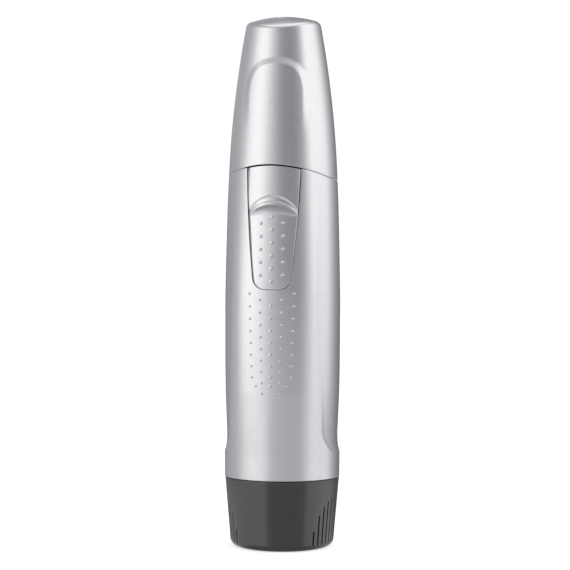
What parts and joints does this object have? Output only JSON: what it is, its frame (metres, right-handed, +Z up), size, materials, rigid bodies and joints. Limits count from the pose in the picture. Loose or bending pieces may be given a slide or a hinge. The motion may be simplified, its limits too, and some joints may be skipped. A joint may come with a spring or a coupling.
{
  "type": "nose hair trimmer",
  "caption": "Slim barrel-shaped battery nose and ear hair trimmer with a pull-off domed cap, a thumb slide switch and a twist-off battery cover.",
  "frame": {"origin": "centre of the flat base of the battery cover", "axes": "+Z up the body's long axis towards the cap; the thumb switch faces -Y; +X is to the right seen from the switch side"},
  "size_m": [0.0284, 0.0286, 0.13],
  "materials": {
    "silver_plastic": "fine metallic silver lacquer",
    "charcoal_plastic": "fine matte grain",
    "inner_plastic": "moulded",
    "pale_plastic": "moulded nylon",
    "rubber": "smooth",
    "brass": "stamped strip",
    "copper": "lacquered wire and bars",
    "steel": "satin",
    "polished_steel": "polished",
    "core_steel": "stacked sheet",
    "magnet": "sintered ferrite",
    "cell_core": "satin can",
    "cell_label": "plain printed sleeve"
  },
  "bodies": {
    "housing": {"housing": "silver_plastic", "chassis": "inner_plastic", "neck_collar": "charcoal_plastic", "neck_screws": "steel", "positive_contact": "brass", "positive_lead": "brass", "negative_strip": "brass", "switch_lead": "brass", "battery_can": "cell_core", "battery_label": "cell_label", "battery_gasket": "inner_plastic", "battery_positive_cap": "steel", "motor_can": "steel", "motor_magnets": "magnet", "motor_end_cap": "pale_plastic", "motor_terminals": "brass", "motor_brushes": "brass", "motor_bushes": "brass", "motor_damper": "rubber", "shaft_seal": "rubber"},
    "cap": {"protective_cap": "silver_plastic"},
    "switch": {"switch_plate": "silver_plastic", "switch_seal": "rubber", "switch_carriage": "inner_plastic", "switch_bridge": "brass"},
    "cover": {"battery_cover": "charcoal_plastic", "cover_seal": "rubber", "cover_contact": "brass", "battery_spring": "steel"},
    "head": {"head_base": "charcoal_plastic", "head_seal": "rubber", "head_retainer": "inner_plastic", "outer_cutter": "polished_steel", "cutter_spring": "steel"},
    "rotor": {"motor_shaft": "steel", "rotor_core": "core_steel", "rotor_windings": "copper", "commutator": "copper", "drive_coupling": "pale_plastic"},
    "cutter": {"cutter_spindle": "pale_plastic", "inner_blade": "steel"}
  },
  "joints": [
    {"name": "cap_pull", "type": "slide", "parent": "housing", "child": "cap", "axis": [0, 0, 1], "range_m": [0, 0.045]},
    {"name": "switch_slide", "type": "slide", "parent": "housing", "child": "switch", "axis": [0, 0, 1], "range_m": [0, 0.0035]},
    {"name": "cover_turn", "type": "hinge", "parent": "housing", "child": "cover", "pos_m": [0, 0, 0], "axis": [0, 0, -1], "range_deg": [0, 60]},
    {"name": "head_turn", "type": "hinge", "parent": "housing", "child": "head", "pos_m": [0, 0, 0.095], "axis": [0, 0, 1], "range_deg": [0, 30]},
    {"name": "motor_spin", "type": "hinge", "parent": "housing", "child": "rotor", "pos_m": [0, 0, 0.0735], "axis": [0, 0, 1], "continuous": true},
    {"name": "cutter_spin", "type": "hinge", "parent": "housing", "child": "cutter", "pos_m": [0, 0, 0.1], "axis": [0, 0, 1], "continuous": true}
  ],
  "couplings": [
    {"joint": "cutter_spin", "follows": "motor_spin", "ratio": 1}
  ]
}
